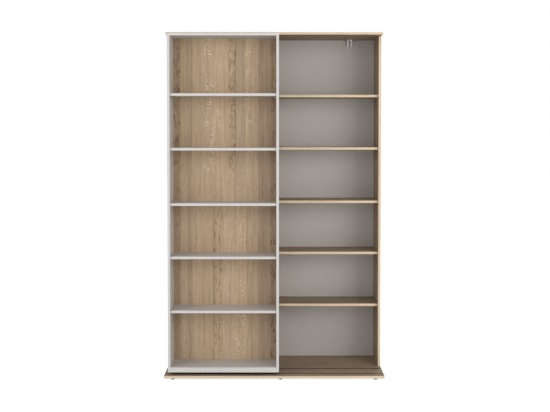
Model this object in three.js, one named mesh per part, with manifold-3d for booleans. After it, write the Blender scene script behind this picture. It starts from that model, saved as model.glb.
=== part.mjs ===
// Bookcase with a sliding front unit, in millimetres.
// X runs to the right, Y to the back and Z up. The origin is on the floor, under the middle of the footprint.
// A shallow two-bay case stands on a deep base board. In front of it a shelf unit of half its width rolls
// sideways: four wheels run in two lined grooves of the base board, and two pins on the unit's top run in
// a groove under the top board, whose closed ends stop the unit at either side.
import * as THREE from "three";
import { mergeVertices } from "three/addons/utils/BufferGeometryUtils.js";
import Module from "manifold-3d";

const wasm = await Module();
wasm.setup();

// Boards and sheets
const board = 15; // every carcass board, side panel and shelf
const backSheet = 3; // hardboard, nailed on the rear edges
const sheetMargin = 2; // carcass edge left free round a back sheet

// Rear case
const caseWidth = 1300;
const caseDepth = 215; // side panels, front to back
const sideHeight = 2018;
const topReach = 70; // top board in front of the side panels
const caseShelfRecess = 15; // shelves behind the side panels' front edges
const shelfTopShares = [0.1895, 0.348, 0.5037, 0.6653, 0.824]; // of the side height, from the base board up
const fixedShelf = 2; // index of the shelf that is bolted between the panels
const shelfPlay = 0.5; // at each end of a loose shelf

// Sliding unit
const unitPastMiddle = 27.5; // over the centre divider, when the unit is at its left stop
const unitDepth = 164; // with its back sheet
const unitShelfRecess = 8;
const plinthHeight = 28;
const rearGap = 7; // from the unit's back to the case
const topGap = 3; // from the unit's top to the top board
const baseMargin = 11; // base board in front of the unit
const endMargin = 22.5; // base board beyond the unit at either stop

// Feet
const footHeight = 12;
const footRadius = 12;
const footChamfer = 1.5;
const footSetback = 31; // from the base board's front or rear edge to the foot's centre
const footInset = 50; // from the base board's end to the outer feet's centres
const middleFootOffset = 37; // the middle feet stand right of the divider

// Wheels, their axles and housings
const wheelRadius = 14;
const wheelPlay = 0.3; // under the tread
const treadWidth = 7;
const treadRound = 1.2;
const rimWall = 2.6;
const webWidth = 2.4;
const hubRadius = 5;
const hubWidth = 9;
const axleRadius = 2.5;
const boreClearance = 0.25; // wheel bore over axle
const pinClearance = 0.15; // housing bore over axle
const axleHeadRadius = 4;
const axleHead = 1.5;
const axleEnd = 1; // axle beyond the far cheek
const cheek = 2.5; // moulded wall of the housing
const cheekClearance = 0.5; // from hub to cheek
const cheekRadius = 6; // round end of a cheek, about the axle
const cheekTopWidth = 44;
const housingPlate = 2.5;
const plateLength = 68;
const plateWidth = 22;
const plateScrewInset = 5; // screw hole from the plate's end
const screwHoleRadius = 2.1;
const webHeight = 4; // cross webs between the cheeks
const webGap = 1.5; // from the tread to a cross web
const wheelHeadroom = 4.2; // from the tread to the housing plate
const wheelInset = 60; // from the unit's side to the wheel's centre
const frontWheelInset = 37; // from the unit's front
const rearWheelInset = 36; // from the unit's back

// Grooves in the base board, each lined with a plastic runner, and the bare one under the top board
const grooveDepth = 4; // down to the runner's running face
const grooveWidth = 9; // between the runner's walls, and of the bare groove
const runnerWall = 1;
const topGrooveDepth = 5;

// Guide pins on the unit's top
const guideRadius = 3.5;
const guideRise = 4; // into the top board's groove
const guideRound = 1;
const collarRadius = 8;
const collar = 1.2;
const guideShankRadius = 4;
const guideShank = 10; // into the unit's top board
const shankClearance = 0.15;
const guideStopPlay = 0.3; // at the closed end of the groove

// Wall brackets
const bracketInset = 158; // from the side panel's inner face to the bracket's middle
const bracketWidth = 30;
const bracketReach = 38; // along the top board
const bracketDrop = 53; // down the back sheet, with its round tip
const bracketWall = 3;
const bracketRim = 8; // front to back, round the tip
const bracketSlotRadius = 3;
const bracketSlotLength = 10; // between the slot's round ends
const bracketScrewSpacing = 16;

// Facets and boolean cuts
const roundSides = 28;
const smallRoundSides = 16;
const quarterSteps = 3;
const overrun = 1; // of a cutting tool past the face it leaves
const weldDistance = 1e-4;

// Places worked out from the sizes above
const baseReach = rearGap + unitDepth + baseMargin; // base board in front of the side panels
const depth = baseReach + caseDepth + backSheet;
const baseFrontY = -depth / 2;
const caseFrontY = baseFrontY + baseReach;
const caseBackY = caseFrontY + caseDepth; // the case's back sheets lie on this plane
const topFrontY = caseFrontY - topReach;
const baseTopZ = footHeight + board;
const topUnderZ = baseTopZ + sideHeight;
const outerX = caseWidth / 2;
const bayOuterX = outerX - board; // inner face of a side panel
const bayInnerX = board / 2; // face of the centre divider

const unitBackY = caseFrontY - rearGap;
const unitFrontY = unitBackY - unitDepth;
const unitSheetY = unitBackY - backSheet; // front face of the unit's back sheet
const unitTopZ = topUnderZ - topGap;
const unitHalf = (outerX - endMargin + unitPastMiddle) / 2;
const unitRestX = unitPastMiddle - unitHalf; // the unit's middle at its left stop
const axleZ = baseTopZ - grooveDepth + wheelPlay + wheelRadius;
const bottomUnderZ = axleZ + wheelRadius + wheelHeadroom + housingPlate;
const bottomTopZ = bottomUnderZ + board;
const wheelLinesY = { front: unitFrontY + frontWheelInset, rear: unitBackY - rearWheelInset };
const wheelOffsetX = unitHalf - wheelInset; // from the unit's middle
const hubHalf = hubWidth / 2;
const cheekInnerY = hubHalf + cheekClearance; // from the wheel's middle plane
const cheekOuterY = cheekInnerY + cheek;

// Colours and surfaces, one entry for each finish
const finishes = {
  oak: { color: 0xd9bf9b, roughness: 0.55, metalness: 0 },
  white: { color: 0xd6d3cf, roughness: 0.45, metalness: 0 },
  greySheet: { color: 0xa59d96, roughness: 0.7, metalness: 0 },
  oakSheet: { color: 0xaf9880, roughness: 0.65, metalness: 0 },
  blackPlastic: { color: 0x232120, roughness: 0.5, metalness: 0 },
  brownPlastic: { color: 0x2e241c, roughness: 0.5, metalness: 0 },
  nylon: { color: 0xd8d6d0, roughness: 0.4, metalness: 0 },
  steel: { color: 0xb4b7ba, roughness: 0.3, metalness: 1 },
  clearPlastic: { color: 0xb9b7b3, roughness: 0.4, metalness: 0 },
};

const sides = [
  ["left", -1],
  ["right", 1],
];

function addMesh(group, name, finish, geometry) {
  const mesh = new THREE.Mesh(geometry, new THREE.MeshStandardMaterial(finishes[finish]));
  mesh.name = name;
  group.add(mesh);
  return mesh;
}

// A plain board that fills the space between the given low and high X, Y and Z.
function addBoard(group, name, finish, [x0, x1], [y0, y1], [z0, z1]) {
  const mesh = addMesh(group, name, finish, new THREE.BoxGeometry(x1 - x0, y1 - y0, z1 - z0));
  mesh.position.set((x0 + x1) / 2, (y0 + y1) / 2, (z0 + z1) / 2);
  return mesh;
}

// Solids for joining and cutting
function solidOf(geometry) {
  const plain = geometry.clone();
  plain.deleteAttribute("normal");
  plain.deleteAttribute("uv");
  const welded = mergeVertices(plain, weldDistance);
  const vertProperties = welded.attributes.position.array;
  const triVerts = new Uint32Array(welded.index.array);
  return new wasm.Manifold(new wasm.Mesh({ numProp: 3, vertProperties, triVerts }));
}

function geometryOf(solid) {
  const mesh = solid.getMesh();
  const geometry = new THREE.BufferGeometry();
  geometry.setAttribute("position", new THREE.BufferAttribute(mesh.vertProperties, 3));
  geometry.setIndex(new THREE.BufferAttribute(mesh.triVerts, 1));
  geometry.computeVertexNormals();
  return geometry;
}

function joined(...geometries) {
  return geometryOf(geometries.map(solidOf).reduce((whole, next) => whole.add(next)));
}

function cut(geometry, ...tools) {
  return geometryOf(tools.map(solidOf).reduce((whole, tool) => whole.subtract(tool), solidOf(geometry)));
}

function boxAt(x, y, z, width, length, height) {
  return new THREE.BoxGeometry(width, length, height).translate(x, y, z);
}

// A round bar along Z, from one height to another.
function barZ(x, y, z0, z1, radius, steps = smallRoundSides) {
  const bar = new THREE.CylinderGeometry(radius, radius, z1 - z0, steps);
  return bar.rotateX(Math.PI / 2).translate(x, y, (z0 + z1) / 2);
}

// A profile of [radius, place along the axis] points turned about Y, or about Z.
function turnedY(profile, steps) {
  return new THREE.LatheGeometry(
    profile.map(([radius, along]) => new THREE.Vector2(radius, along)),
    steps,
  );
}

function turnedZ(profile, steps) {
  return turnedY(profile, steps).rotateX(Math.PI / 2);
}

// A YZ outline carried along X, its middle on X = 0.
function extrudedX(outline, length) {
  const shape = new THREE.Shape(outline.map(([y, z]) => new THREE.Vector2(y, z)));
  const toPart = new THREE.Matrix4().makeBasis(
    new THREE.Vector3(0, 1, 0),
    new THREE.Vector3(0, 0, 1),
    new THREE.Vector3(1, 0, 0),
  );
  return new THREE.ExtrudeGeometry(shape, { depth: length, bevelEnabled: false })
    .translate(0, 0, -length / 2)
    .applyMatrix4(toPart);
}

// An XZ shape carried along Y, its middle on Y = 0.
function extrudedY(shape, length, curveSegments) {
  return new THREE.ExtrudeGeometry(shape, { depth: length, bevelEnabled: false, curveSegments })
    .translate(0, 0, -length / 2)
    .rotateX(Math.PI / 2);
}

// Rounds a profile's corner with a quarter circle from one point to the next, about a centre.
function quarter(centreRadius, centreAlong, size, startAngle) {
  return Array.from({ length: quarterSteps + 1 }, (_, i) => {
    const angle = startAngle + (i / quarterSteps) * (Math.PI / 2);
    return [centreRadius + size * Math.cos(angle), centreAlong + size * Math.sin(angle)];
  });
}

// The deep base board, with two grooves for the runners that run out at both of its ends.
function addBaseBoard(group) {
  const outline = [
    [baseFrontY, footHeight],
    [caseBackY, footHeight],
    [caseBackY, baseTopZ],
  ];
  for (const y of [wheelLinesY.rear, wheelLinesY.front]) {
    const half = grooveWidth / 2 + runnerWall;
    const floor = baseTopZ - grooveDepth - runnerWall;
    outline.push([y + half, baseTopZ], [y + half, floor], [y - half, floor], [y - half, baseTopZ]);
  }
  outline.push([baseFrontY, baseTopZ]);
  addMesh(group, "base_board", "oak", extrudedX(outline, caseWidth));
}

// A channel pressed into each groove of the base board, flush with its top; the wheels roll in it.
function addRunners(group) {
  const inner = grooveWidth / 2;
  const outer = inner + runnerWall;
  const underside = -grooveDepth - runnerWall;
  const outline = [
    [-outer, underside],
    [outer, underside],
    [outer, 0],
    [inner, 0],
    [inner, -grooveDepth],
    [-inner, -grooveDepth],
    [-inner, 0],
    [-outer, 0],
  ];
  for (const [row, y] of Object.entries(wheelLinesY)) {
    const runner = addMesh(group, "groove_runner_" + row, "brownPlastic", extrudedX(outline, caseWidth));
    runner.position.set(0, y, baseTopZ);
  }
}

// The top board, with a groove in its underside that ends where the unit's outer pins stop.
function addTopBoard(group) {
  const length = caseBackY - topFrontY;
  const middleY = (topFrontY + caseBackY) / 2;
  const slab = boxAt(0, middleY, topUnderZ + board / 2, caseWidth, length, board);
  const endX = outerX - endMargin - wheelInset + guideRadius + guideStopPlay - grooveWidth / 2;
  const bottomZ = topUnderZ - overrun;
  const grooveTopZ = topUnderZ + topGrooveDepth;
  const grooveMiddleZ = (bottomZ + grooveTopZ) / 2;
  const run = boxAt(0, wheelLinesY.rear, grooveMiddleZ, 2 * endX, grooveWidth, grooveTopZ - bottomZ);
  const ends = [-endX, endX].map((x) => barZ(x, wheelLinesY.rear, bottomZ, grooveTopZ, grooveWidth / 2));
  addMesh(group, "top_board", "oak", cut(slab, run, ...ends));
}

function addCasePanels(group) {
  const y = [caseFrontY, caseBackY];
  const z = [baseTopZ, topUnderZ];
  addBoard(group, "left_side_panel", "oak", [-outerX, -bayOuterX], y, z);
  addBoard(group, "right_side_panel", "oak", [bayOuterX, outerX], y, z);
  addBoard(group, "centre_divider", "oak", [-bayInnerX, bayInnerX], y, z);
}

// Each back sheet covers one bay and is nailed to the divider's rear edge beside the other.
function addCaseBacks(group) {
  const y = [caseBackY, caseBackY + backSheet];
  const z = [footHeight + sheetMargin, topUnderZ + board - sheetMargin];
  const outer = outerX - sheetMargin;
  addBoard(group, "rear_back_sheet_left", "greySheet", [-outer, 0], y, z);
  addBoard(group, "rear_back_sheet_right", "greySheet", [0, outer], y, z);
}

// Five shelves; the one at mid height is tight between its panels, and the others have a little play.
function addShelves(group, stem, finish, x0, x1, y) {
  shelfTopShares.forEach((share, i) => {
    const play = i === fixedShelf ? 0 : shelfPlay;
    const top = baseTopZ + share * sideHeight;
    addBoard(group, stem + "_" + (i + 1), finish, [x0 + play, x1 - play], y, [top - board, top]);
  });
}

function addCaseShelves(group) {
  const y = [caseFrontY + caseShelfRecess, caseBackY];
  addShelves(group, "rear_shelf_left", "oak", -bayOuterX, -bayInnerX, y);
  addShelves(group, "rear_shelf_right", "oak", bayInnerX, bayOuterX, y);
}

// Round glides under the base board: three along the front and three along the back.
function addFeet(group) {
  const profile = [
    [0, 0],
    [footRadius - footChamfer, 0],
    [footRadius, footChamfer],
    [footRadius, footHeight],
    [0, footHeight],
  ];
  const columns = { left: -outerX + footInset, middle: middleFootOffset, right: outerX - footInset };
  const rows = { front: baseFrontY + footSetback, rear: caseBackY - footSetback };
  for (const [row, y] of Object.entries(rows)) {
    for (const [column, x] of Object.entries(columns)) {
      const foot = addMesh(group, "foot_" + row + "_" + column, "blackPlastic", turnedZ(profile, roundSides));
      foot.position.set(x, y, 0);
    }
  }
}

// A moulded angle, screwed under the top board. Its back leg ends in a round tip with a slot for the wall
// screw, and a rim runs down both sides as cheeks and round the tip.
function bracketGeometry() {
  const half = bracketWidth / 2;
  const tipZ = half - bracketDrop; // the middle of the round tip
  const legShape = new THREE.Shape();
  legShape.moveTo(half, 0);
  legShape.lineTo(-half, 0);
  legShape.absarc(0, tipZ, half, Math.PI, 2 * Math.PI, false);
  const rimShape = new THREE.Shape();
  rimShape.absarc(0, tipZ, half, Math.PI, 2 * Math.PI, false);
  rimShape.absarc(0, tipZ, half - bracketWall, 2 * Math.PI, Math.PI, true);
  const backLeg = extrudedY(legShape, bracketWall, smallRoundSides).translate(0, -bracketWall / 2, 0);
  const rim = extrudedY(rimShape, bracketRim, smallRoundSides).translate(0, -bracketRim / 2, 0);

  const cheekOutline = [
    [0, 0],
    [-bracketReach, 0],
    [-bracketReach, -bracketWall],
    [-bracketRim, tipZ],
    [0, tipZ],
  ];
  const cheekX = half - bracketWall / 2;
  const cheeks = [-cheekX, cheekX].map((x) => extrudedX(cheekOutline, bracketWall).translate(x, 0, 0));
  const reachMiddle = -bracketReach / 2;
  const topLeg = boxAt(0, reachMiddle, -bracketWall / 2, bracketWidth, bracketReach, bracketWall);

  const toolLength = bracketWall + 2 * overrun;
  const screwHoles = [-1, 1].map((side) => {
    const x = (side * bracketScrewSpacing) / 2;
    return barZ(x, reachMiddle, -bracketWall - overrun, overrun, screwHoleRadius);
  });
  const slotEnds = [-1, 1].map((side) => {
    const z = tipZ + (side * bracketSlotLength) / 2;
    const end = new THREE.CylinderGeometry(bracketSlotRadius, bracketSlotRadius, toolLength, smallRoundSides);
    return end.translate(0, -bracketWall / 2, z);
  });
  const slotRun = boxAt(0, -bracketWall / 2, tipZ, 2 * bracketSlotRadius, toolLength, bracketSlotLength);
  return cut(joined(topLeg, backLeg, rim, ...cheeks), ...screwHoles, ...slotEnds, slotRun);
}

function addBrackets(group) {
  for (const [side, sign] of sides) {
    const bracket = addMesh(group, "wall_bracket_" + side, "clearPlastic", bracketGeometry());
    bracket.position.set(sign * (bayOuterX - bracketInset), caseBackY, topUnderZ);
  }
}

// The unit's carcass: the top board lies on the sides, and the bottom and the plinth are between them.
function addUnitCarcass(group) {
  const inner = unitHalf - board;
  const y = [unitFrontY, unitSheetY];
  const plinthBackY = unitFrontY + board;
  const plinthBottomZ = bottomTopZ - plinthHeight;
  const sideZ = [plinthBottomZ, unitTopZ - board];
  addBoard(group, "unit_left_panel", "white", [-unitHalf, -inner], y, sideZ);
  addBoard(group, "unit_right_panel", "white", [inner, unitHalf], y, sideZ);
  addBoard(group, "unit_bottom", "white", [-inner, inner], [plinthBackY, unitSheetY], [bottomUnderZ, bottomTopZ]);
  addBoard(group, "unit_plinth", "white", [-inner, inner], [unitFrontY, plinthBackY], [plinthBottomZ, bottomTopZ]);

  const topMiddleY = (unitFrontY + unitSheetY) / 2;
  const slab = boxAt(0, topMiddleY, unitTopZ - board / 2, 2 * unitHalf, unitSheetY - unitFrontY, board);
  const holes = sides.map(([, sign]) => {
    const radius = guideShankRadius + shankClearance;
    const floor = unitTopZ - guideShank - shankClearance;
    return barZ(sign * wheelOffsetX, wheelLinesY.rear, floor, unitTopZ + overrun, radius);
  });
  addMesh(group, "unit_top", "white", cut(slab, ...holes));

  const sheetHalf = unitHalf - sheetMargin;
  const sheetZ = [plinthBottomZ + sheetMargin, unitTopZ - sheetMargin];
  addBoard(group, "unit_back_sheet", "oakSheet", [-sheetHalf, sheetHalf], [unitSheetY, unitBackY], sheetZ);
}

function addUnitShelves(group) {
  const inner = unitHalf - board;
  addShelves(group, "unit_shelf", "white", -inner, inner, [unitFrontY + unitShelfRecess, unitSheetY]);
}

// A pin with a collar, pressed into the unit's top board; its head runs in the top board's groove.
function addGuides(group) {
  const rise = topGap + guideRise;
  const profile = [
    [0, -guideShank],
    [guideShankRadius, -guideShank],
    [guideShankRadius, 0],
    [collarRadius, 0],
    [collarRadius, collar],
    [guideRadius, collar],
    ...quarter(guideRadius - guideRound, rise - guideRound, guideRound, 0),
    [0, rise],
  ];
  for (const [side, sign] of sides) {
    const guide = addMesh(group, "top_guide_" + side, "nylon", turnedZ(profile, roundSides));
    guide.position.set(sign * wheelOffsetX, wheelLinesY.rear, unitTopZ);
  }
}

// A flanged housing, as moulded: a screwed plate, two tapering cheeks and two cross webs round the wheel.
// Its origin is on the axle, in the wheel's middle plane.
function housingGeometry() {
  const plateZ = wheelRadius + wheelHeadroom;
  const cheekShape = new THREE.Shape();
  cheekShape.moveTo(-cheekTopWidth / 2, plateZ);
  cheekShape.lineTo(cheekTopWidth / 2, plateZ);
  cheekShape.lineTo(cheekRadius, 0);
  cheekShape.absarc(0, 0, cheekRadius, 0, Math.PI, true);
  const cheekMiddleY = (cheekInnerY + cheekOuterY) / 2;
  const cheeks = [-cheekMiddleY, cheekMiddleY].map((y) =>
    extrudedY(cheekShape, cheek, smallRoundSides).translate(0, y, 0),
  );
  const plate = boxAt(0, 0, plateZ + housingPlate / 2, plateLength, plateWidth, housingPlate);
  const webX = wheelRadius + webGap + cheek / 2;
  const webs = [-webX, webX].map((x) => boxAt(x, 0, plateZ - webHeight / 2, cheek, 2 * cheekOuterY, webHeight));
  const toolLength = 2 * (cheekOuterY + overrun);
  const boreRadius = axleRadius + pinClearance;
  const bore = new THREE.CylinderGeometry(boreRadius, boreRadius, toolLength, smallRoundSides);
  const screwX = plateLength / 2 - plateScrewInset;
  const screwHoles = [-screwX, screwX].map((x) =>
    barZ(x, 0, plateZ - overrun, plateZ + housingPlate + overrun, screwHoleRadius),
  );
  return cut(joined(plate, ...cheeks, ...webs), bore, ...screwHoles);
}

// A wheel with a hub, a thin web and a rounded tread, turned about its axle.
function wheelGeometry() {
  const bore = axleRadius + boreClearance;
  const treadHalf = treadWidth / 2;
  const rimInner = wheelRadius - rimWall;
  const shoulder = wheelRadius - treadRound;
  const half = [
    [rimInner, webWidth / 2],
    [rimInner, treadHalf],
  ];
  const profile = [
    [bore, -hubHalf],
    [hubRadius, -hubHalf],
    [hubRadius, -webWidth / 2],
    ...half.map(([radius, along]) => [radius, -along]),
    ...quarter(shoulder, treadRound - treadHalf, treadRound, -Math.PI / 2),
    ...quarter(shoulder, treadHalf - treadRound, treadRound, 0),
    ...half.toReversed(),
    [hubRadius, webWidth / 2],
    [hubRadius, hubHalf],
    [bore, hubHalf],
    [bore, -hubHalf],
  ];
  return turnedY(profile, roundSides);
}

// A steel pin through both cheeks, with its head on the outside of the front one.
function axleGeometry() {
  const headY = -cheekOuterY - pinClearance;
  const profile = [
    [0, headY - axleHead],
    [axleHeadRadius, headY - axleHead],
    [axleHeadRadius, headY],
    [axleRadius, headY],
    [axleRadius, cheekOuterY + axleEnd],
    [0, cheekOuterY + axleEnd],
  ];
  return turnedY(profile, smallRoundSides);
}

function addRunningGear(group) {
  for (const [row, y] of Object.entries(wheelLinesY)) {
    for (const [side, sign] of sides) {
      const place = row + "_" + side;
      const gear = new THREE.Group();
      gear.position.set(sign * wheelOffsetX, y, axleZ);
      addMesh(gear, "wheel_housing_" + place, "blackPlastic", housingGeometry());
      addMesh(gear, "wheel_axle_" + place, "steel", axleGeometry());
      addMesh(gear, "wheel_" + place, "blackPlastic", wheelGeometry());
      group.add(gear);
    }
  }
}

const bookcase = new THREE.Group();

const rearCase = new THREE.Group();
addBaseBoard(rearCase);
addRunners(rearCase);
addTopBoard(rearCase);
addCasePanels(rearCase);
addCaseBacks(rearCase);
addCaseShelves(rearCase);
addFeet(rearCase);
addBrackets(rearCase);
bookcase.add(rearCase);

const slidingUnit = new THREE.Group();
addUnitCarcass(slidingUnit);
addUnitShelves(slidingUnit);
addGuides(slidingUnit);
addRunningGear(slidingUnit);
slidingUnit.position.x = unitRestX;
bookcase.add(slidingUnit);

export default bookcase;
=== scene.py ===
"""Looks of a two-bay bookcase with a white shelf unit that rolls sideways in front of it.

Everything is in metres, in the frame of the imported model: X to the right, Y to the back and Z up.
"""

import math

import bmesh
import bpy
from mathutils import Matrix, Vector


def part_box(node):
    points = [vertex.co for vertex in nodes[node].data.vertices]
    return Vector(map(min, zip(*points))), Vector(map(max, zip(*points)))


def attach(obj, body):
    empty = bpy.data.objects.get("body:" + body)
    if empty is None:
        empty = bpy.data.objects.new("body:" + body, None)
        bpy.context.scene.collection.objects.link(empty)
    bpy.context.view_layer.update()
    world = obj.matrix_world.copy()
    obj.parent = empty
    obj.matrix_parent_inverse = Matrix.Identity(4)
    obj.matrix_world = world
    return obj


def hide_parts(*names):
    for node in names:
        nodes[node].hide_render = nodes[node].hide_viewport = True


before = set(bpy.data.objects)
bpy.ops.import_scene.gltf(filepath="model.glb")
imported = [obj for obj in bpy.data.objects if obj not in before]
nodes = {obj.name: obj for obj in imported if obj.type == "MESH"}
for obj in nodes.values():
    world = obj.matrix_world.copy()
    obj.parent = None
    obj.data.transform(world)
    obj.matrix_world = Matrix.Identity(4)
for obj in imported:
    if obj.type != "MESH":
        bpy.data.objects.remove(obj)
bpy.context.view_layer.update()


# Base board of the case
# A deep 15 mm chipboard panel faced with melamine paper in a limed oak print. The print runs along its
# length and the edges have ABS edging. The faces are painted darker than the edging, as painted shade, and
# this board's edging is painted paler than the other edging, as painted light on its low front. Two grooves
# for the runners are milled through its ends.
def linear(hex_colour):
    """The linear RGBA of an sRGB hex colour, as a shader socket takes it."""
    channels = [int(hex_colour[i : i + 2], 16) / 255 for i in (1, 3, 5)]
    return [c / 12.92 if c <= 0.04045 else ((c + 0.055) / 1.055) ** 2.4 for c in channels] + [1.0]


def add_node(tree, kind, inputs, **settings):
    """Adds a node. Each input, named by its identifier, takes a value or another node's output."""
    node = tree.nodes.new(kind)
    for name, value in settings.items():
        setattr(node, name, value)
    sockets = {socket.identifier: socket for socket in node.inputs}
    for name, value in inputs.items():
        if isinstance(value, bpy.types.NodeSocket):
            tree.links.new(value, sockets[name])
        else:
            sockets[name].default_value = value
    return node


mixed_colour = 2  # the place of the mixed colour among a Mix node's outputs


def new_material(name, roughness, metallic=0.0, gloss=0.5):
    """A material with a principled shader, its node tree and its object coordinates."""
    material = bpy.data.materials.new(name)
    material.use_nodes = True
    tree = material.node_tree
    shader = tree.nodes["Principled BSDF"]
    shader.inputs["Roughness"].default_value = roughness
    shader.inputs["Metallic"].default_value = metallic
    shader.inputs["Specular IOR Level"].default_value = gloss
    place = add_node(tree, "ShaderNodeTexCoord", {}).outputs["Object"]
    return material, tree, shader, place


# Each mark in the print: its width across the grain, its length along it, its detail and its distortion.
# The pores are drawn 1.1 mm wide, coarser than the real ones, so that they show.
oak_marks = {
    "streak": (0.013, 0.6, 5.0, 0.1),
    "fibre": (0.004, 0.12, 3.0, 0.0),
    "growth": (0.055, 0.5, 2.0, 0.3),
    "flame": (0.04, 0.09, 1.0, 0.8),
    "pore": (0.0011, 0.03, 2.0, 0.0),
    "patch": (0.03, 0.1, 1.0, 0.0),
    "ray": (0.02, 0.009, 1.0, 0.6),
}


def drawn_out_marks(tree, place, along):
    """A noise for each mark, fine across the grain and drawn out along it."""
    marks = {}
    for name, (width, length, detail, distortion) in oak_marks.items():
        scale = [1 / length if axis == along else 1 / width for axis in "XYZ"]
        spread = add_node(tree, "ShaderNodeMapping", {"Vector": place, "Scale": scale})
        inputs = {"Vector": spread.outputs[0], "Scale": 1.0, "Detail": detail, "Distortion": distortion}
        marks[name] = add_node(tree, "ShaderNodeTexNoise", inputs).outputs[0]
    return marks


growth_angle = 70.0  # radians that the growth lines' sine runs through over their noise's whole range
flame_angle = 24.0
line_threshold = 0.3  # the height on the sine's wave above which a line shows
growth_strength = 0.16
figure_strength = 0.7  # of the flames or flecks where a stave is cut wholly one way


def figure(tree, marks, cut):
    """Masks of the growth lines, flames and ray flecks that a stave shows.

    A cut of 0 is quarter sawn, with ray flecks, 0.5 is plain, and 1 is flat sawn, with flames.
    """
    inputs = {"Value": cut, "From Min": 0.55, "From Max": 1.0, "To Max": figure_strength}
    flamed = add_node(tree, "ShaderNodeMapRange", inputs).outputs[0]
    inputs = {"Value": cut, "From Min": 0.45, "From Max": 0.0, "To Max": figure_strength}
    flecked = add_node(tree, "ShaderNodeMapRange", inputs).outputs[0]
    masks = []
    lines = (("growth", growth_angle, growth_strength), ("flame", flame_angle, flamed))
    for name, turn, strength in lines:
        inputs = {"Value": marks[name], "Value_001": turn}
        angle = add_node(tree, "ShaderNodeMath", inputs, operation="MULTIPLY").outputs[0]
        wave = add_node(tree, "ShaderNodeMath", {"Value": angle}, operation="SINE").outputs[0]
        inputs = {"Value": wave, "From Min": line_threshold, "To Max": strength}
        masks.append(add_node(tree, "ShaderNodeMapRange", inputs).outputs[0])
    inputs = {"Value": marks["patch"], "From Min": 0.48, "From Max": 0.58, "To Max": flecked}
    patch = add_node(tree, "ShaderNodeMapRange", inputs).outputs[0]
    inputs = {"Value": marks["ray"], "From Min": 0.53, "From Max": 0.63, "To Max": patch}
    masks.append(add_node(tree, "ShaderNodeMapRange", inputs).outputs[0])
    return masks


fibre_share = 0.4
pore_strength = 0.35


def oak_print(name, along, staves, pale, light, dark, deep):
    """Melamine paper with a limed oak print, pressed with a matt plate.

    Staves of differing tone and cut lie side by side, with long streaks, finer fibres and short dark pores.
    """
    material, tree, shader, place = new_material(name, 0.6, gloss=0.2)
    axes = add_node(tree, "ShaderNodeSeparateXYZ", {"Vector": place}).outputs
    tone, cut, run = staves(tree, axes)
    shift = add_node(tree, "ShaderNodeCombineXYZ", {along: run}).outputs[0]
    inputs = {"Vector": place, "Vector_001": shift}
    moved = add_node(tree, "ShaderNodeVectorMath", inputs, operation="ADD").outputs[0]
    marks = drawn_out_marks(tree, moved, along)

    inputs = {"Factor_Float": fibre_share, "A_Float": marks["streak"], "B_Float": marks["fibre"]}
    grain = add_node(tree, "ShaderNodeMix", inputs).outputs[0]
    inputs = {"Value": grain, "From Min": 0.36, "From Max": 0.64}
    lightness = add_node(tree, "ShaderNodeMapRange", inputs).outputs[0]
    inputs = {"Factor_Float": lightness, "A_Color": linear(dark), "B_Color": linear(light)}
    colour = add_node(tree, "ShaderNodeMix", inputs, data_type="RGBA").outputs[mixed_colour]
    inputs = {"Value": marks["pore"], "From Min": 0.56, "From Max": 0.72, "To Max": pore_strength}
    pores = add_node(tree, "ShaderNodeMapRange", inputs).outputs[0]
    growth, flames, flecks = figure(tree, marks, cut)
    for mask, paint in ((growth, deep), (flames, deep), (pores, deep), (flecks, pale)):
        inputs = {"Factor_Float": mask, "A_Color": colour, "B_Color": linear(paint)}
        colour = add_node(tree, "ShaderNodeMix", inputs, data_type="RGBA").outputs[mixed_colour]
    inputs = {"Vector": colour, "Vector_001": tone}
    toned = add_node(tree, "ShaderNodeVectorMath", inputs, operation="MULTIPLY").outputs[0]
    tree.links.new(toned, shader.inputs["Base Color"])
    inputs = {"Strength": 0.25, "Distance": 0.0002, "Height": marks["pore"]}
    relief = add_node(tree, "ShaderNodeBump", inputs, invert=True).outputs[0]
    tree.links.new(relief, shader.inputs["Normal"])
    return material


stave_width = 0.09
longest_shift = 7.0
darkest_stave = 0.88
stave_unevenness = 0.8


def random_staves(tree, axes):
    """Staves side by side along Y, each with its own tone, cut and place along the print."""
    inputs = {"Value": axes["Y"], "Value_001": stave_width}
    row = add_node(tree, "ShaderNodeMath", inputs, operation="DIVIDE").outputs[0]
    inputs = {"W": row, "Scale": 1.0, "Randomness": stave_unevenness}
    stave = add_node(tree, "ShaderNodeTexVoronoi", inputs, voronoi_dimensions="1D")
    chance = add_node(tree, "ShaderNodeSeparateColor", {"Color": stave.outputs["Color"]}).outputs
    inputs = {"Value": chance["Green"], "To Min": darkest_stave, "To Max": 1.0}
    tone = add_node(tree, "ShaderNodeMapRange", inputs).outputs[0]
    inputs = {"Value": chance["Red"], "Value_001": longest_shift}
    run = add_node(tree, "ShaderNodeMath", inputs, operation="MULTIPLY").outputs[0]
    return tone, chance["Blue"], run


def one_stave(tree, axes):
    """A single stave: full tone, plain cut, and nowhere moved along the print."""
    return (1.0, 1.0, 1.0), 0.5, 0.0


# Painted shade: the faces' print is painted darker than the same print on the edging.
shaded_face_colours = ("#b6a58e", "#a5927c", "#897864", "#766551")
edge_colours = ("#f2e0ca", "#ead4b9", "#d9c1a2", "#c0a586")
oak_face = {
    "X": oak_print("oak_melamine_along_x", "X", random_staves, *shaded_face_colours),
    "Z": oak_print("oak_melamine_along_z", "Z", random_staves, *shaded_face_colours),
}
oak_edge = {}
for axis in "XYZ":
    oak_edge[axis] = oak_print("oak_edging_along_" + axis.lower(), axis, one_stave, *edge_colours)


chip_width = 0.0025


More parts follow.
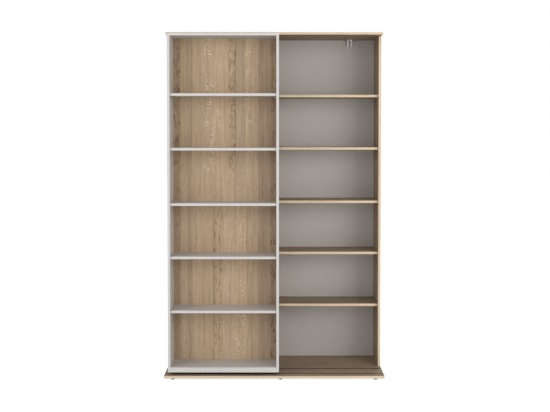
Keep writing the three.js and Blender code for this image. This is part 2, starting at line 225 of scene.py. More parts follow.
def raw_chipboard():
    """Cut chipboard: matt resin-bonded chips 1 to 4 mm across, in straw to brown."""
    material, tree, shader, place = new_material("cut_chipboard", 0.85, gloss=0.3)
    chips = add_node(tree, "ShaderNodeTexVoronoi", {"Vector": place, "Scale": 1 / chip_width})
    chance = add_node(tree, "ShaderNodeSeparateColor", {"Color": chips.outputs["Color"]}).outputs
    inputs = {"Factor_Float": chance["Red"], "A_Color": linear("#7a5c3c"), "B_Color": linear("#b8966a")}
    colour = add_node(tree, "ShaderNodeMix", inputs, data_type="RGBA").outputs[mixed_colour]
    tree.links.new(colour, shader.inputs["Base Color"])
    inputs = {"Strength": 0.5, "Distance": 0.0005, "Height": chance["Green"]}
    tree.links.new(add_node(tree, "ShaderNodeBump", inputs).outputs[0], shader.inputs["Normal"])
    return material


chipboard = raw_chipboard()
edge_round = 0.0007
hair = 1e-4  # within which two places count as one
squarely = 0.99  # a face looks along an axis where its normal's part along that axis is above this


def finished(name, bm, materials, body, slot, *cad_nodes, smooth=False):
    """Makes the mesh a piece that rides on a body and, where it names CAD nodes, replaces them."""
    bmesh.ops.recalc_face_normals(bm, faces=bm.faces)
    mesh = bpy.data.meshes.new(name)
    bm.to_mesh(mesh)
    bm.free()
    for material in materials:
        mesh.materials.append(material)
    for face in mesh.polygons:
        face.use_smooth = smooth
    piece = bpy.data.objects.new(name, mesh)
    bpy.context.scene.collection.objects.link(piece)
    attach(piece, body)
    if cad_nodes:
        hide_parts(*cad_nodes)


def rounded(bm, edges, size, segments=2):
    """Rounds edges over."""
    shape = {"affect": "EDGES", "profile": 0.5, "material": -1}
    bmesh.ops.bevel(bm, geom=edges, offset=size, segments=segments, **shape)


def drawn_from(bm, faces, way):
    """Extrudes faces by a vector."""
    made = bmesh.ops.extrude_face_region(bm, geom=faces)["geom"]
    verts = [part for part in made if isinstance(part, bmesh.types.BMVert)]
    bmesh.ops.translate(bm, verts=verts, vec=way)


def dress(bm, thin, long, faces, edges):
    """Gives a board's faces their print along its length, its edges their edging, and its rear edge none.

    thin and long are the axes of its thickness and its length: 0 for X, 1 for Y and 2 for Z. Returns the
    materials in the order of their slots.
    """
    used = []
    for face in bm.faces:
        looks = max(range(3), key=lambda i: abs(face.normal[i]))
        if looks == thin and abs(face.normal[thin]) > squarely:
            material = faces["XYZ"[long]]
        elif face.normal.y > squarely:
            material = chipboard
        else:
            runs = 3 - thin - looks if looks != thin else long
            material = edges["XYZ"[runs]]
        if material not in used:
            used.append(material)
        face.material_index = used.index(material)
    return used


low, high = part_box("base_board")
outline = [(low.y, low.z), (high.y, low.z), (high.y, high.z)]
for row in ("rear", "front"):
    groove_low, groove_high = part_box(f"groove_runner_{row}")
    outline += [(groove_high.y, high.z), (groove_high.y, groove_low.z)]
    outline += [(groove_low.y, groove_low.z), (groove_low.y, high.z)]
outline.append((low.y, high.z))
bm = bmesh.new()
left_end = bm.faces.new([bm.verts.new((low.x, y, z)) for y, z in outline])
drawn_from(bm, [left_end], (high.x - low.x, 0, 0))
bmesh.ops.recalc_face_normals(bm, faces=bm.faces)
outer = []
for edge in bm.edges:
    ends = [vert.co for vert in edge.verts]
    in_front = all(abs(end.y - low.y) < hair for end in ends)
    below_end = all(abs(end.z - low.z) < hair for end in ends) and abs(ends[0].x - ends[1].x) < hair
    if in_front or below_end:
        outer.append(edge)
rounded(bm, outer, edge_round)
# Painted light: this edging is painted paler than the other edging to stand in for the light on the board's
# low front.
base_edge_colours_painted_lighter = ("#fdeedc", "#f5e1c9", "#e3cdb0", "#c9af92")
base_edge = {}
for axis in "XY":
    name = "lightened_oak_edging_along_" + axis.lower()
    base_edge[axis] = oak_print(name, axis, one_stave, *base_edge_colours_painted_lighter)
used = dress(bm, thin=2, long=0, faces=oak_face, edges=base_edge)
finished("base_panel", bm, used, "rear_case", "oak_decor", "base_board")


# Runners in the base board's grooves
# Dark brown PVC channels, extruded and pressed in flush, in which the wheels roll. The extrusion is satin,
# with a faint grain.
clouds_per_metre = 60.0


def moulded_plastic(name, colour, shade, roughness, grain=0.0006):
    """Plastic with the fine grain of its tool, and a faint cloudiness.

    The grain is drawn 0.6 mm wide or more, coarser than the real one, so that it shows.
    """
    material, tree, shader, place = new_material(name, roughness)
    speck = add_node(tree, "ShaderNodeTexNoise", {"Vector": place, "Scale": 1 / grain, "Detail": 2.0})
    inputs = {"Vector": place, "Scale": clouds_per_metre, "Detail": 2.0}
    cloud = add_node(tree, "ShaderNodeTexNoise", inputs).outputs[0]
    inputs = {"Factor_Float": cloud, "A_Color": linear(colour), "B_Color": linear(shade)}
    colour = add_node(tree, "ShaderNodeMix", inputs, data_type="RGBA").outputs[mixed_colour]
    tree.links.new(colour, shader.inputs["Base Color"])
    inputs = {"Strength": 0.2, "Distance": 0.0001, "Height": speck.outputs[0]}
    tree.links.new(add_node(tree, "ShaderNodeBump", inputs).outputs[0], shader.inputs["Normal"])
    return material


# This dark brown is also the painted shade on the walls of the top board's groove.
brown_pvc_and_groove_shade = moulded_plastic("brown_pvc_and_groove_shade", "#2c231c", "#352b22", 0.5, grain=0.0015)
for row in ("front", "rear"):
    nodes[f"groove_runner_{row}"].material_slots[0].material = brown_pvc_and_groove_shade


# Glides under the base board
# Six round glides of black polypropylene, moulded in one with a pin that is driven into the board. The foot
# has a rounded rim and a dished sole. The moulding is satin, with the fine grain of a spark-eroded tool.
weld = 1e-6  # vertices nearer to each other than this are merged


def turned(profile, steps):
    """A round solid from a profile of (radius, height) points that starts and ends on the Z axis."""
    bm = bmesh.new()
    points = [bm.verts.new((radius, 0, height)) for radius, height in profile]
    outline = points + [bm.edges.new(pair) for pair in zip(points, points[1:])]
    turn = {"axis": (0, 0, 1), "cent": (0, 0, 0), "angle": 2 * math.pi}
    bmesh.ops.spin(bm, geom=outline, steps=steps, use_merge=True, **turn)
    bmesh.ops.remove_doubles(bm, verts=bm.verts, dist=weld)
    return bm


def repeated(part, places):
    """One mesh with a copy of a part at each place, given as matrices."""
    shape = bpy.data.meshes.new("shape")
    part.to_mesh(shape)
    part.free()
    bm = bmesh.new()
    for place in places:
        start = len(bm.verts)
        bm.from_mesh(shape)
        bm.verts.ensure_lookup_table()
        bmesh.ops.transform(bm, matrix=place, verts=bm.verts[start:])
    bpy.data.meshes.remove(shape)
    return bm


black_polypropylene = moulded_plastic("black_polypropylene", "#1b1918", "#252220", 0.5)
feet = [f"foot_{row}_{column}" for row in ("front", "rear") for column in ("left", "middle", "right")]
low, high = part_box(feet[0])
foot_height = high.z - low.z
foot_radius = (high.x - low.x) / 2
rim_round = 0.002
dish_share = 0.55
dish_radius = foot_radius * dish_share
dish_depth = 0.0005
glide_profile = [(0, dish_depth), (dish_radius, dish_depth)]
for angle in (-90, -60, -30, 0):
    across, up = math.cos(math.radians(angle)), math.sin(math.radians(angle))
    glide_profile.append((foot_radius - rim_round * (1 - across), rim_round * (1 + up)))
glide_profile += [(foot_radius, foot_height), (0, foot_height)]
foot_places = []
for foot in feet:
    low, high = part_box(foot)
    foot_places.append(Matrix.Translation(((low.x + high.x) / 2, (low.y + high.y) / 2, low.z)))
glides = repeated(turned(glide_profile, steps=40), foot_places)
finished("glides", glides, [black_polypropylene], "rear_case", "black_plastic", *feet, smooth=True)


# Side panels and centre divider
# Upright 15 mm panels in the same oak print, with the grain upright, and edging on the front edges. Their
# rear edges are left raw under the back sheets.
def block(node):
    """A plain block in the place of a CAD node."""
    low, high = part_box(node)
    bm = bmesh.new()
    bmesh.ops.create_cube(bm, size=1.0)
    bmesh.ops.scale(bm, verts=bm.verts, vec=high - low)
    bmesh.ops.translate(bm, verts=bm.verts, vec=(low + high) / 2)
    return bm


def board(node, body, slot, faces, edges):
    """A board in the place of its CAD node, with eased edges, faced and edged."""
    low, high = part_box(node)
    thin, _, long = sorted(range(3), key=lambda i: high[i] - low[i])
    bm = block(node)
    rounded(bm, bm.edges[:], edge_round)
    finished(node + "_faced", bm, dress(bm, thin, long, faces, edges), body, slot, node)


for node in ("left_side_panel", "right_side_panel", "centre_divider"):
    board(node, "rear_case", "oak_decor", oak_face, oak_edge)


# Top board of the case
# The same faced panel. It reaches forward over the sliding unit, and a groove in its underside, closed at
# both ends, guides and stops the unit's pins. The groove's walls are painted in the runners' dark brown as
# painted shade.
guide_radius = 0.0035
stop_play = 0.0003
guide_groove_half = 0.0045
guide_groove_depth = 0.005
guide_middle = sum(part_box("top_guide_left"), Vector()) / 2
guide_end = abs(guide_middle.x) + guide_radius + stop_play
bm = block("top_board")
rounded(bm, bm.edges[:], edge_round)
cuts = [((x, 0, 0), (1, 0, 0)) for x in (-guide_end, guide_end)]
cuts += [((0, guide_middle.y + side, 0), (0, 1, 0)) for side in (-guide_groove_half, guide_groove_half)]
for point, across in cuts:
    everything = bm.verts[:] + bm.edges[:] + bm.faces[:]
    bmesh.ops.bisect_plane(bm, geom=everything, plane_co=point, plane_no=across)


def within_groove(face, margin):
    """Whether a face's middle lies over the groove, or past its walls by no more than a margin."""
    middle = face.calc_center_median()
    across = abs(middle.y - guide_middle.y)
    return abs(middle.x) < guide_end + margin and across < guide_groove_half + margin


mouth = [face for face in bm.faces if face.normal.z < -squarely and within_groove(face, 0)]
drawn_from(bm, mouth, (0, 0, guide_groove_depth))
bmesh.ops.delete(bm, geom=mouth, context="FACES_ONLY")
bmesh.ops.recalc_face_normals(bm, faces=bm.faces)
used = dress(bm, thin=2, long=0, faces=oak_face, edges=oak_edge) + [brown_pvc_and_groove_shade]
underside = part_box("top_board")[0].z
# Painted shade: the groove's walls take the runners' dark brown.
for face in bm.faces:
    height = face.calc_center_median().z - underside
    if within_groove(face, hair) and hair < height < guide_groove_depth + hair:
        face.material_index = used.index(brown_pvc_and_groove_shade)
finished("top_panel", bm, used, "rear_case", "oak_decor", "top_board")


# Case shelves
# Five in each bay, in the oak print with edged fronts. The middle one is bolted between the panels, and
# the others lie loose on pins.
case_shelves = [f"rear_shelf_{bay}_{number}" for bay in ("left", "right") for number in range(1, 6)]
for node in case_shelves:
    board(node, "rear_case", "oak_decor", oak_face, oak_edge)


# Case back sheets
# Two 3 mm hardboard sheets, painted warm grey on the inside. The outside is bare brown fibre with the
# print of the press's wire mesh.
fibre_width = 0.004
fibre_length = 0.03


def painted_hardboard():
    """The painted face of hardboard: matt warm grey with faint upright fibres."""
    material, tree, shader, place = new_material("painted_hardboard_warm_grey", 0.65, gloss=0.3)
    scale = (1 / fibre_width, 1 / fibre_width, 1 / fibre_length)
    spread = add_node(tree, "ShaderNodeMapping", {"Vector": place, "Scale": scale}).outputs[0]
    inputs = {"Vector": spread, "Scale": 1.0, "Detail": 4.0, "Roughness": 0.6}
    fibre = add_node(tree, "ShaderNodeTexNoise", inputs).outputs[0]
    inputs = {"Factor_Float": fibre, "A_Color": linear("#c2bcb6"), "B_Color": linear("#cfc9c4")}
    colour = add_node(tree, "ShaderNodeMix", inputs, data_type="RGBA").outputs[mixed_colour]
    tree.links.new(colour, shader.inputs["Base Color"])
    return material


bundle_width = 0.009
stain_width = 0.25
stain_share = 0.3
wire_spacing = 0.0012
wave_period = math.pi / 10  # the distance from band to band of a wave texture at scale 1


def bare_hardboard():
    """The bare face of hardboard: brown pressed fibre with the print of the press's wire mesh.

    The fibre bundles are drawn 9 mm wide, several times their real size, so that they show.
    """
    material, tree, shader, place = new_material("bare_hardboard", 0.8, gloss=0.3)
    inputs = {"Vector": place, "Scale": 1 / bundle_width, "Detail": 6.0}
    bundles = add_node(tree, "ShaderNodeTexNoise", inputs).outputs[0]
    inputs = {"Vector": place, "Scale": 1 / stain_width, "Detail": 3.0}
    stains = add_node(tree, "ShaderNodeTexNoise", inputs).outputs[0]
    inputs = {"Factor_Float": stain_share, "A_Float": bundles, "B_Float": stains}
    both = add_node(tree, "ShaderNodeMix", inputs).outputs[0]
    inputs = {"Value": both, "From Min": 0.32, "From Max": 0.68}
    lightness = add_node(tree, "ShaderNodeMapRange", inputs).outputs[0]
    inputs = {"Factor_Float": lightness, "A_Color": linear("#75553a"), "B_Color": linear("#96724f")}
    colour = add_node(tree, "ShaderNodeMix", inputs, data_type="RGBA").outputs[mixed_colour]
    tree.links.new(colour, shader.inputs["Base Color"])
    wires = []
    for axis in "XZ":
        inputs = {"Vector": place, "Scale": wave_period / wire_spacing, "Distortion": 0.5}
        wires.append(add_node(tree, "ShaderNodeTexWave", inputs, bands_direction=axis).outputs["Fac"])
    inputs = {"Value": wires[0], "Value_001": wires[1]}
    crossed = add_node(tree, "ShaderNodeMath", inputs, operation="MULTIPLY").outputs[0]
    inputs = {"Strength": 0.3, "Distance": 0.0002, "Height": crossed}
    tree.links.new(add_node(tree, "ShaderNodeBump", inputs).outputs[0], shader.inputs["Normal"])
    return material


fibre_back = bare_hardboard()
painted_grey = painted_hardboard()
sheet_edge_round = 0.0003


def back_sheet(name, node, body, slot, front):
    """A hardboard sheet whose front face has its own finish."""
    bm = block(node)
    rounded(bm, bm.edges[:], sheet_edge_round, segments=1)
    for face in bm.faces:
        face.material_index = 0 if face.normal.y < -squarely else 1
    finished(name, bm, [front, fibre_back], body, slot, node)


for side in ("left", "right"):
    back_sheet(f"back_sheet_{side}", f"rear_back_sheet_{side}", "rear_case", "grey_hardboard", painted_grey)


# Sliding unit's boards
# Sides, top, bottom, plinth and five shelves of 15 mm chipboard in plain white melamine, with white edging.
# The faces are painted greyer than the edging, as painted shade. The plinth strip is in the edging's white
# all over.
pearl_width = 0.0012
mottle_width = 0.3


def white_melamine(name, colour, shade):
    """White melamine paper: an even satin white with the faint pearl structure of its press plate."""
    material, tree, shader, place = new_material(name, 0.5, gloss=0.3)
    inputs = {"Vector": place, "Scale": 1 / pearl_width, "Detail": 3.0}
    pearl = add_node(tree, "ShaderNodeTexNoise", inputs).outputs[0]
    inputs = {"Vector": place, "Scale": 1 / mottle_width, "Detail": 2.0}
    mottle = add_node(tree, "ShaderNodeTexNoise", inputs).outputs[0]
    inputs = {"Factor_Float": mottle, "A_Color": linear(colour), "B_Color": linear(shade)}
    colour = add_node(tree, "ShaderNodeMix", inputs, data_type="RGBA").outputs[mixed_colour]
    tree.links.new(colour, shader.inputs["Base Color"])
    inputs = {"Strength": 0.12, "Distance": 0.0001, "Height": pearl}
    tree.links.new(add_node(tree, "ShaderNodeBump", inputs).outputs[0], shader.inputs["Normal"])
    return material


# Painted shade: the faces' white is painted greyer than the edging's.
shaded_white_face = dict.fromkeys("XYZ", white_melamine("white_melamine", "#bcb7b3", "#c0bbb7"))
white_edge = dict.fromkeys("XYZ", white_melamine("white_edging", "#d8d6d3", "#dcdad7"))
unit_shelves = [f"unit_shelf_{number}" for number in range(1, 6)]
for node in ["unit_left_panel", "unit_right_panel", "unit_bottom", "unit_top", *unit_shelves]:
    board(node, "sliding_unit", "white_melamine", shaded_white_face, white_edge)
board("unit_plinth", "sliding_unit", "white_melamine", white_edge, white_edge)


# Sliding unit's back sheet
# One 3 mm hardboard sheet with a print of wide upright limed oak boards on the inside, bare fibre on the
# outside. A board is given by where it starts, as a share of the sheet's width, by its tone, and by its cut
# as above: 0 for ray flecks, 0.5 for plain and 1 for flames.
pale = (1.0, 1.0, 0.98)
rosy = (0.97, 0.97, 0.98)
tan = (0.92, 0.91, 0.88)
grey = (0.84, 0.84, 0.86)
umber = (0.71, 0.69, 0.68)
upper_board_shares = (
    (0.0, umber, 1.0),
    (0.080, tan, 0.5),
    (0.148, grey, 0.5),
    (0.192, pale, 0.45),
    (0.300, rosy, 0.0),
    (0.390, pale, 0.2),
    (0.450, pale, 0.5),
    (0.486, tan, 0.5),
    (0.532, tan, 0.9),
    (0.588, umber, 0.9),
    (0.604, grey, 0.45),
    (0.690, pale, 0.15),
    (0.760, rosy, 0.5),
    (0.812, grey, 0.5),
    (0.924, umber, 0.8),
)
lower_board_shares = (
    (0.0, umber, 0.7),
    (0.080, rosy, 0.5),
    (0.148, grey, 0.5),
    (0.192, pale, 0.35),
    (0.290, tan, 0.5),
    (0.386, umber, 0.9),
    (0.400, tan, 0.9),
    (0.470, rosy, 0.3),
    (0.594, pale, 0.05),
    (0.690, tan, 0.5),
    (0.772, rosy, 0.5),
    (0.812, grey, 0.5),
    (0.924, umber, 1.0),
)
prints_meet = (0.95, 1.3)  # the heights between which the lower boards fade into the upper ones


def sheet_boards(tree, axes):
    """The tone and cut of the printed boards, for oak_print."""
    low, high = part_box("unit_back_sheet")
    inputs = {"Value": axes["X"], "From Min": low.x, "From Max": high.x}
    share = add_node(tree, "ShaderNodeMapRange", inputs).outputs[0]
    ramps = []
    for board_shares in (lower_board_shares, upper_board_shares):
        ramp = add_node(tree, "ShaderNodeValToRGB", {"Fac": share})
        ramp.color_ramp.interpolation = "CONSTANT"
        stops = ramp.color_ramp.elements
        while len(stops) < len(board_shares):
            stops.new(0.5)
        for stop, (start, tone, cut) in zip(stops, board_shares):
            stop.position = start
            stop.color = (*tone, cut)
        ramps.append(ramp.outputs)
    lower, upper = ramps
    inputs = {"Value": axes["Z"], "From Min": prints_meet[0], "From Max": prints_meet[1]}
    above = add_node(tree, "ShaderNodeMapRange", inputs).outputs[0]
    inputs = {"Factor_Float": above, "A_Color": lower["Color"], "B_Color": upper["Color"]}
    tone = add_node(tree, "ShaderNodeMix", inputs, data_type="RGBA").outputs[mixed_colour]
    inputs = {"Factor_Float": above, "A_Float": lower["Alpha"], "B_Float": upper["Alpha"]}
    cut = add_node(tree, "ShaderNodeMix", inputs).outputs[0]
    return tone, cut, 0.0


sheet_colours = ("#f1dcc2", "#d8bea0", "#bea588", "#8b735a")
oak_sheet = oak_print("oak_printed_hardboard", "Z", sheet_boards, *sheet_colours)
back_sheet("unit_back", "unit_back_sheet", "sliding_unit", "oak_hardboard", oak_sheet)


# Shelf pins
# Four steel supports under each loose shelf, pressed from sheet and nickel plated: a flat plate that the
# shelf rests on, and a 5 mm peg that sits in the panel.
mark_width = 0.0008


def bright_metal(name, colour, shade, roughness):
    """Plated steel or cast zinc: bright grey metal with the fine marks of its working.

    The marks are drawn 0.8 mm wide, coarser than the real ones, so that they show.
    """
    material, tree, shader, place = new_material(name, roughness, metallic=1.0)
    inputs = {"Vector": place, "Scale": 1 / mark_width, "Detail": 3.0}
    marks = add_node(tree, "ShaderNodeTexNoise", inputs).outputs[0]
    inputs = {"Factor_Float": marks, "A_Color": linear(colour), "B_Color": linear(shade)}
    colour = add_node(tree, "ShaderNodeMix", inputs, data_type="RGBA").outputs[mixed_colour]
    tree.links.new(colour, shader.inputs["Base Color"])
    return material


def edges_of(verts):
    """The edges that meet at some vertices, each once and in a fixed order."""
    return list(dict.fromkeys(edge for vert in verts for edge in vert.link_edges))


def round_bar(bm, radius, top_radius, depth, place, segments):
    """Adds a round bar or a low cone on its own axis, and returns the edges round its two ends."""
    sizes = {"radius1": radius, "radius2": top_radius, "depth": depth, "segments": segments}
    verts = bmesh.ops.create_cone(bm, cap_ends=True, matrix=place, **sizes)["verts"]
    ends = {face for vert in verts for face in vert.link_faces if len(face.verts) == segments}
    return [edge for edge in edges_of(verts) if any(face in ends for face in edge.link_faces)]


nickel = bright_metal("nickel_plated_steel", "#a7a39c", "#c2beb6", 0.28)
peg_radius = 0.0025
peg_length = 0.017
peg_depth = 0.007  # how deep the peg sits in the panel
peg_round = 0.0005
plate_size = Vector((0.011, 0.013, 0.0015))
plate_corner = 0.003
pin_inset = 0.037


def shelf_pin():
    """A pin for a left-hand panel: the panel's face is at X = 0 and the shelf's underside at Z = 0."""
    bm = bmesh.new()
    bmesh.ops.create_cube(bm, size=1.0)
    bmesh.ops.scale(bm, verts=bm.verts, vec=plate_size)
    upright = [edge for edge in bm.edges if abs(edge.verts[0].co.z - edge.verts[1].co.z) > hair]
    rounded(bm, upright, plate_corner, segments=4)
    bmesh.ops.translate(bm, verts=bm.verts, vec=(plate_size.x / 2, 0, -plate_size.z / 2))
    middle = (peg_length / 2 - peg_depth, 0, -plate_size.z - peg_radius)
    place = Matrix.Translation(middle) @ Matrix.Rotation(math.pi / 2, 4, "Y")
    rounded(bm, round_bar(bm, peg_radius, peg_radius, peg_length, place, segments=20), peg_round)
    return bm


def shelf_pins(name, body, shelves):
    """Two pins at each end of each shelf."""
    places = []
    for node in shelves:
        low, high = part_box(node)
        for y in (low.y + pin_inset, high.y - pin_inset):
            places.append(Matrix.Translation((low.x, y, low.z)))
            places.append(Matrix.Translation((high.x, y, low.z)) @ Matrix.Rotation(math.pi, 4, "Z"))
    finished(name, repeated(shelf_pin(), places), [nickel], body, "steel")


shelf_pins("case_shelf_pins", "rear_case", [node for node in case_shelves if not node.endswith("3")])
shelf_pins("unit_shelf_pins", "sliding_unit", [node for node in unit_shelves if not node.endswith("3")])


# Cams and caps
# Zinc die-cast cams with a cross recess pull the boards together: under the fixed shelves they stay open,
# and in the panels' inner faces thin stick-on caps in the board's own print cover them.
def crossed_head(radius, top_radius, height, arm, arm_half, recess):
    """A round head that stands up from Z = 0, with a cross recess in its top.

    arm is how far the cross reaches from the middle, and arm_half is half the width of its arms.
    """
    bm = bmesh.new()
    seat = Matrix.Translation((0, 0, height / 2))
    ends = round_bar(bm, radius, top_radius, height, seat, segments=32)
    rim = [edge for edge in ends if edge.verts[0].co.z > height / 2]
    rounded(bm, rim, height / 4)
    for offset in (-arm, -arm_half, arm_half, arm):
        for across in (Vector((1, 0, 0)), Vector((0, 1, 0))):
            top = [face for face in bm.faces if face.normal.z > squarely]
            outline = dict.fromkeys(part for face in top for part in (*face.verts, *face.edges))
            plane = {"plane_co": across * offset, "plane_no": across}
            bmesh.ops.bisect_plane(bm, geom=[*top, *outline], **plane)
    mouth = []
    for face in bm.faces:
        middle = face.calc_center_median()
        nearer, further = sorted((abs(middle.x), abs(middle.y)))
        if face.normal.z > squarely and nearer < arm_half and further < arm:
            mouth.append(face)
    drawn_from(bm, mouth, (0, 0, -recess))
    bmesh.ops.delete(bm, geom=mouth, context="FACES_ONLY")
    return bm


zinc_casting = bright_metal("zinc_die_casting", "#8f9294", "#a6a9ab", 0.42)
cam_sizes = {"radius": 0.0075, "top_radius": 0.0075, "height": 0.001, "arm": 0.0045, "arm_half": 0.0011}
cam_recess = 0.0008
cam_proud = 0.0002
cam_from_end = 0.034
cam_from_edge = 0.04
downwards = Matrix.Rotation(math.pi, 4, "X")


def cams(name, body, shelves):
    """Four cams in the underside of each shelf, one near each corner."""
    places = []
    for node in shelves:
        low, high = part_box(node)
        z = low.z + cam_sizes["height"] - cam_proud
        for x in (low.x + cam_from_end, high.x - cam_from_end):
            for y in (low.y + cam_from_edge, high.y - cam_from_edge):
                places.append(Matrix.Translation((x, y, z)) @ downwards)
    cam = crossed_head(recess=cam_recess, **cam_sizes)
    finished(name, repeated(cam, places), [zinc_casting], body, "steel")


cams("case_cams", "rear_case", ["rear_shelf_left_3", "rear_shelf_right_3"])
cams("unit_cams", "sliding_unit", ["unit_shelf_3"])

cap_radius = 0.0085
cap_thickness = 0.0004
panel_low, panel_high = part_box("left_side_panel")
cap_heights = (panel_low.z + cam_from_end, panel_high.z - cam_from_end)
cap_depths = (panel_low.y + cam_from_edge, panel_high.y - cam_from_edge)
cap_places = []
for node, side in (("left_side_panel", 1), ("right_side_panel", -1), ("centre_divider", -1)):
    low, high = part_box(node)
    outwards = Matrix.Rotation(side * math.pi / 2, 4, "Y")
    for y in cap_depths:
        for z in cap_heights:
            cap_places.append(Matrix.Translation((high.x if side > 0 else low.x, y, z)) @ outwards)
cap = bmesh.new()
seat = Matrix.Translation((0, 0, cap_thickness / 2))
round_bar(cap, cap_radius, cap_radius - cap_thickness, cap_thickness, seat, segments=32)
finished("cam_caps", repeated(cap, cap_places), [oak_face["Z"]], "rear_case", "oak_decor")


# Nails
# Flat-headed nails hold the back sheets to the boards' rear edges, one about every 130 mm round each sheet.
nail_spacing = 0.13
nail_inset = 0.0065
nail_radius = 0.0022
nail_head = 0.0006


def evenly(start, end):
    """Places from start to end, both with a nail, at about the nails' spacing."""
    count = round((end - start) / nail_spacing)
    return [start + (end - start) * i / count for i in range(count + 1)]


def nails(name, body, sheet):
    """Nails all round a back sheet, with their heads on its outside."""
    low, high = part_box(sheet)
    ends_x = (low.x + nail_inset, high.x - nail_inset)
    ends_z = (low.z + nail_inset, high.z - nail_inset)
    spots = [(x, z) for x in evenly(*ends_x) for z in ends_z]
    spots += [(x, z) for x in ends_x for z in evenly(*ends_z)[1:-1]]
    backwards = Matrix.Rotation(-math.pi / 2, 4, "X")
    head = bmesh.new()
    seat = Matrix.Translation((0, 0, nail_head / 2))
    round_bar(head, nail_radius, nail_radius - nail_head / 2, nail_head, seat, segments=14)
    places = [Matrix.Translation((x, high.y, z)) @ backwards for x, z in spots]
    finished(name, repeated(head, places), [nickel], body, "steel")


nails("nails_left", "rear_case", "rear_back_sheet_left")
nails("nails_right", "rear_case", "rear_back_sheet_right")
nails("nails_unit", "sliding_unit", "unit_back_sheet")


# Wall brackets
# Milky polypropylene angles with side cheeks, screwed under the top board, with a slot for the wall screw.
# The walls are painted grey, partly for the sheet that shows through the thin milky plastic and partly as
# painted shade in the pocket between the cheeks. The rim and the bead along each cheek's front are painted
# near white as a painted highlight.
# Painted highlight on the rim and beads, painted shade on the walls.
milky_edge_painted_highlight = moulded_plastic("milky_polypropylene_edge_painted_highlight", "#fbfaf8", "#ffffff", 0.3, grain=0.001)
milky_wall_painted_shade = moulded_plastic("milky_polypropylene_wall_painted_shade", "#b9b7b3", "#c3c1bd", 0.3, grain=0.001)
leg_thickness = 0.003
foot_from_wall = 0.008  # the foot is the lower end of a cheek's front
foot_below_top = 0.038
looks_forward = -0.3  # the cheeks' slanting fronts have normals that point further to the front than this
bead_width = 0.009
bead_thickness = 0.003
bead_round = 0.0008
for side in ("left", "right"):
    node = f"wall_bracket_{side}"
    low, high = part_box(node)
    bm = bmesh.new()
    bm.from_mesh(nodes[node].data)
    bmesh.ops.remove_doubles(bm, verts=bm.verts, dist=weld)
    # Faces that look forward take the painted highlight, the others the painted shade.
    for face in bm.faces:
        in_back_leg = face.calc_center_median().y > high.y - leg_thickness - hair
        face.material_index = 0 if face.normal.y < looks_forward and not in_back_leg else 1
    top = Vector((0, low.y, high.z - leg_thickness))
    foot = Vector((0, high.y - foot_from_wall, high.z - foot_below_top))
    tilt = math.atan2(foot.y - top.y, top.z - foot.z)
    inwards = Vector((0, math.cos(tilt), math.sin(tilt)))
    for x in (low.x + bead_width / 2, high.x - bead_width / 2):
        bead = bmesh.ops.create_cube(bm, size=1.0)["verts"]
        bmesh.ops.scale(bm, verts=bead, vec=(bead_width, bead_thickness, (foot - top).length))
        bmesh.ops.rotate(bm, verts=bead, matrix=Matrix.Rotation(tilt, 3, "X"))
        middle = (top + foot) / 2 + inwards * bead_thickness / 2
        bmesh.ops.translate(bm, verts=bead, vec=(x, middle.y, middle.z))
        rounded(bm, edges_of(bead), bead_round)
    finished(f"bracket_{side}", bm, [milky_edge_painted_highlight, milky_wall_painted_shade], "rear_case", "clear_plastic", node)

zinc = bright_metal("zinc_plated_steel", "#a2a5a8", "#bfc2c4", 0.32)
screw_sizes = {"radius": 0.0035, "top_radius": 0.0024, "height": 0.002, "arm": 0.0016, "arm_half": 0.0004}
screw_recess = 0.0012


def screws(name, body, holders, from_middle, under_top):
    """Two screws through the top of each holder, on its middle line, looking down."""
    places = []
    for node in holders:
        low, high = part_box(node)
        for x in ((low.x + high.x) / 2 - from_middle, (low.x + high.x) / 2 + from_middle):
            places.append(Matrix.Translation((x, (low.y + high.y) / 2, high.z - under_top)) @ downwards)
    head = crossed_head(recess=screw_recess, **screw_sizes)
    finished(name, repeated(head, places), [zinc], body, "steel")


bracket_screw_offset = 0.008
brackets = ["wall_bracket_left", "wall_bracket_right"]
screws("bracket_screws", "rear_case", brackets, bracket_screw_offset, leg_thickness)


# Wheels, axles and housings
# Black acetal wheels on zinc-plated pins, in black polypropylene housings that are screwed under the
# unit's bottom board.
black_acetal = moulded_plastic("black_acetal", "#171615", "#201e1d", 0.38)
housing_screw_offset = 0.029
housing_plate = 0.0025
corners = [f"{row}_{side}" for row in ("front", "rear") for side in ("left", "right")]
for corner in corners:
    nodes["wheel_housing_" + corner].material_slots[0].material = black_polypropylene
    nodes["wheel_axle_" + corner].material_slots[0].material = zinc
    nodes["wheel_" + corner].material_slots[0].material = black_acetal
housings = ["wheel_housing_" + corner for corner in corners]
screws("housing_screws", "sliding_unit", housings, housing_screw_offset, housing_plate)


# Guide pins
# Two pins with collars, turned from natural nylon and pressed into the unit's top board.
nylon = moulded_plastic("natural_nylon", "#d6d3ca", "#ccc8bd", 0.38)
for side in ("left", "right"):
    nodes[f"top_guide_{side}"].material_slots[0].material = nylon


# Studio
# A plain white floor and a white surround, with two soft lamps in front and a weak one behind, and the
# camera where the photograph was taken: 4.5 m in front of the case at 1.47 m, looking down by 1.3 degrees.
def seen_directly(tree):
    """1 for the rays that see a surface itself, and 0 for the rays that carry its light on."""
    path = add_node(tree, "ShaderNodeLightPath", {}).outputs
    inputs = {"Value": path["Is Camera Ray"], "Value_001": path["Is Glossy Ray"]}
    seen = add_node(tree, "ShaderNodeMath", inputs, operation="MAXIMUM").outputs[0]
    inputs = {"Value": seen, "Value_001": path["Is Transmission Ray"]}
    return add_node(tree, "ShaderNodeMath", inputs, operation="MAXIMUM").outputs[0]


floor_glow = 0.9


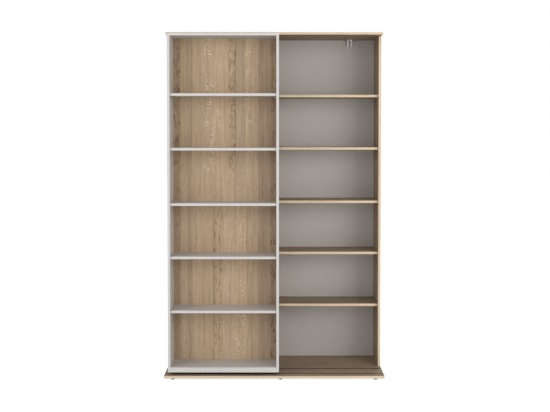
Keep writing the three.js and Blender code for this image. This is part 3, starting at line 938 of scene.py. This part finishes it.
def white_floor():
    """Pale grey for the light that it throws back, and white with a soft shadow for the eye."""
    material = bpy.data.materials.new("studio_floor")
    material.use_nodes = True
    tree = material.node_tree
    tree.nodes.remove(tree.nodes["Principled BSDF"])
    matt = add_node(tree, "ShaderNodeBsdfDiffuse", {"Color": linear("#e2e2e2")}).outputs[0]
    dim = add_node(tree, "ShaderNodeBsdfDiffuse", {"Color": linear("#959595")}).outputs[0]
    inputs = {"Color": linear("#ffffff"), "Strength": floor_glow}
    glow = add_node(tree, "ShaderNodeEmission", inputs).outputs[0]
    shown = add_node(tree, "ShaderNodeAddShader", {"Shader": dim, "Shader_001": glow}).outputs[0]
    inputs = {"Fac": seen_directly(tree), "Shader": matt, "Shader_001": shown}
    both = add_node(tree, "ShaderNodeMixShader", inputs).outputs[0]
    tree.links.new(both, tree.nodes["Material Output"].inputs["Surface"])
    return material


floor_reach = 20
bm = bmesh.new()
bmesh.ops.create_grid(bm, x_segments=1, y_segments=1, size=floor_reach)
mesh = bpy.data.meshes.new("studio_floor")
bm.to_mesh(mesh)
bm.free()
mesh.materials.append(white_floor())
studio = bpy.data.objects.new("studio_floor", mesh)
bpy.context.scene.collection.objects.link(studio)

surround_light = 0.63
world = bpy.data.worlds.new("studio_surround")
bpy.context.scene.world = world
world.use_nodes = True
tree = world.node_tree
inputs = {"Value": seen_directly(tree), "To Min": surround_light, "To Max": 1.0}
strength = add_node(tree, "ShaderNodeMapRange", inputs).outputs[0]
background = tree.nodes["Background"]
background.inputs["Color"].default_value = linear("#ffffff")
tree.links.new(strength, background.inputs["Strength"])

lit_middle = Vector((0, -0.1, 1.03))  # the point that the lamps look at
lamp_distance = 4.2


def softbox(name, azimuth, elevation, width, height, power):
    """A rectangular lamp round the object's middle: azimuth 0 is in front, and 90 on the right."""
    lamp = bpy.data.lights.new(name, "AREA")
    lamp.shape = "RECTANGLE"
    lamp.size = width
    lamp.size_y = height
    lamp.energy = power
    holder = bpy.data.objects.new(name, lamp)
    turn = math.radians(azimuth)
    rise = math.radians(elevation)
    away = Vector((math.sin(turn) * math.cos(rise), -math.cos(turn) * math.cos(rise), math.sin(rise)))
    holder.location = lit_middle + away * lamp_distance
    holder.rotation_euler = away.to_track_quat("Z", "Y").to_euler()
    holder.visible_camera = False
    bpy.context.scene.collection.objects.link(holder)


softbox("softbox_right", azimuth=51, elevation=12, width=3.0, height=2.2, power=69)
softbox("softbox_left", azimuth=-58, elevation=14, width=1.4, height=2.0, power=39)
softbox("softbox_rear", azimuth=150, elevation=25, width=1.4, height=1.4, power=25)

camera_place = (0, -4.4825, 1.46635)
camera_dip = 1.3255  # degrees below level
camera = bpy.data.cameras.new("camera")
camera.sensor_width = 36
camera.lens = 48.0
camera.shift_x = 0.0014
camera.shift_y = -0.1047
view = bpy.data.objects.new("camera", camera)
view.location = camera_place
view.rotation_euler = (math.radians(90 - camera_dip), 0, 0)
bpy.context.scene.collection.objects.link(view)
bpy.context.scene.camera = view
bpy.context.scene.view_settings.view_transform = "Standard"
